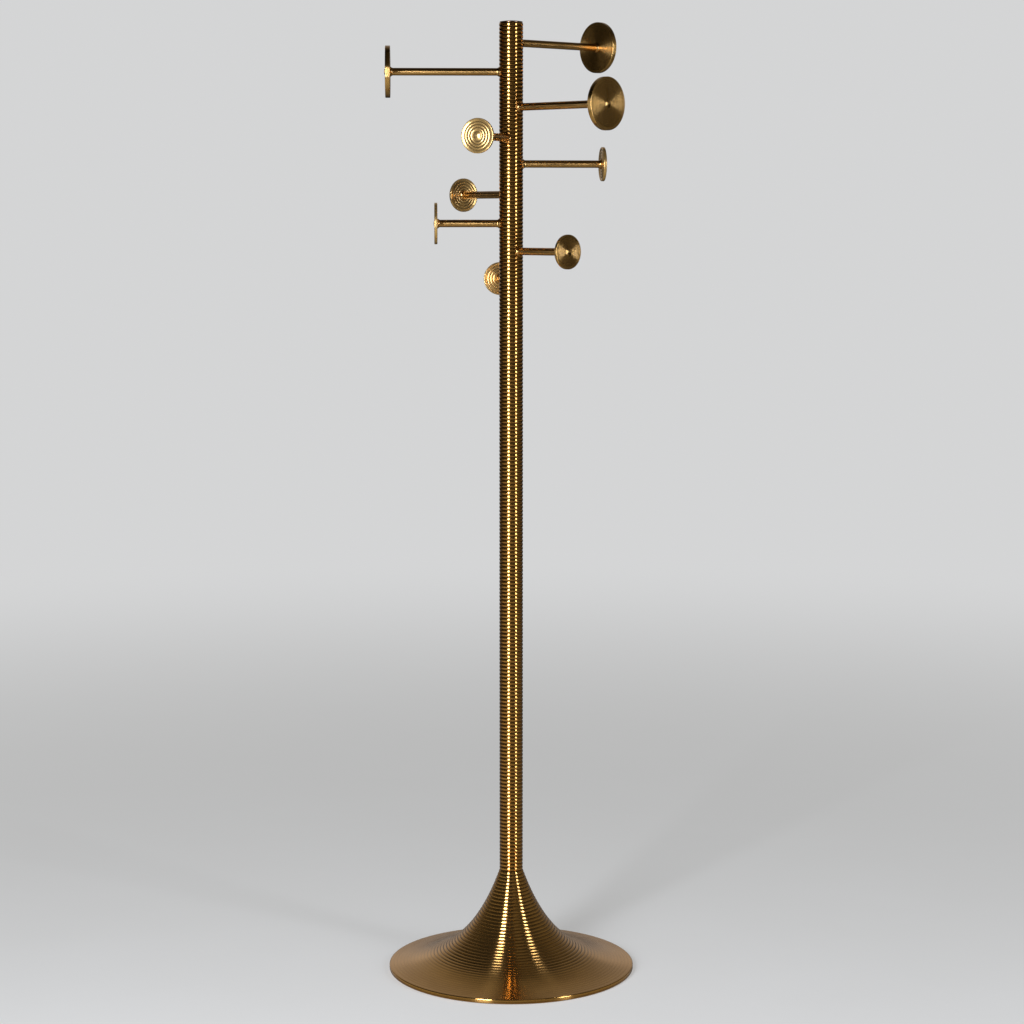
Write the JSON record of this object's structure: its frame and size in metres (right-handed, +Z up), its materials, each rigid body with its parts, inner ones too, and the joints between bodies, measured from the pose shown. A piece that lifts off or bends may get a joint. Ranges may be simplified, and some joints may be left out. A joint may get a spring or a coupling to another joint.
{
  "type": "coat stand",
  "caption": "Free-standing brass coat and hat stand: ribbed pole, trumpet-shaped weighted base, and round pegs that end in turned discs at different heights.",
  "frame": {"origin": "on the floor, under the pole's centre line", "axes": "+Z up along the pole; +X and +Y level; the stand is seen from -Y, with +X to the right"},
  "size_m": [0.457, 0.4569, 1.7574],
  "materials": {
    "ribbed_brass": "satin, turned",
    "turned_brass": "turned rings, satin",
    "rod_brass": "polished",
    "dark_brass": "satin",
    "ballast_iron": "as cast",
    "plate_paint": "satin black",
    "zinc_steel": "zinc plated",
    "felt": "felt"
  },
  "bodies": {
    "root": {"base_nut": "zinc_steel", "base_plate": "plate_paint", "base_shell": "ribbed_brass", "base_washer": "zinc_steel", "base_weight": "ballast_iron", "floor_pad": "felt", "foot_bush": "zinc_steel", "lower_joint_bush": "zinc_steel", "lower_joint_socket": "zinc_steel", "lower_joint_stud": "zinc_steel", "peg_disc_1": "turned_brass", "peg_disc_2": "turned_brass", "peg_disc_3": "turned_brass", "peg_disc_4": "turned_brass", "peg_disc_5": "turned_brass", "peg_disc_6": "turned_brass", "peg_disc_7": "turned_brass", "peg_disc_8": "turned_brass", "peg_disc_9": "turned_brass", "peg_inserts": "zinc_steel", "peg_stem_1": "rod_brass", "peg_stem_2": "rod_brass", "peg_stem_3": "rod_brass", "peg_stem_4": "rod_brass", "peg_stem_5": "rod_brass", "peg_stem_6": "rod_brass", "peg_stem_7": "rod_brass", "peg_stem_8": "rod_brass", "peg_stem_9": "rod_brass", "plate_screws": "zinc_steel", "pole_lower": "ribbed_brass", "pole_middle": "ribbed_brass", "pole_upper": "ribbed_brass", "spacer_tube": "zinc_steel", "tie_rod": "zinc_steel", "top_cap": "dark_brass", "upper_joint_bush": "zinc_steel", "upper_joint_socket": "zinc_steel", "upper_joint_stud": "zinc_steel"}
  },
  "joints": []
}
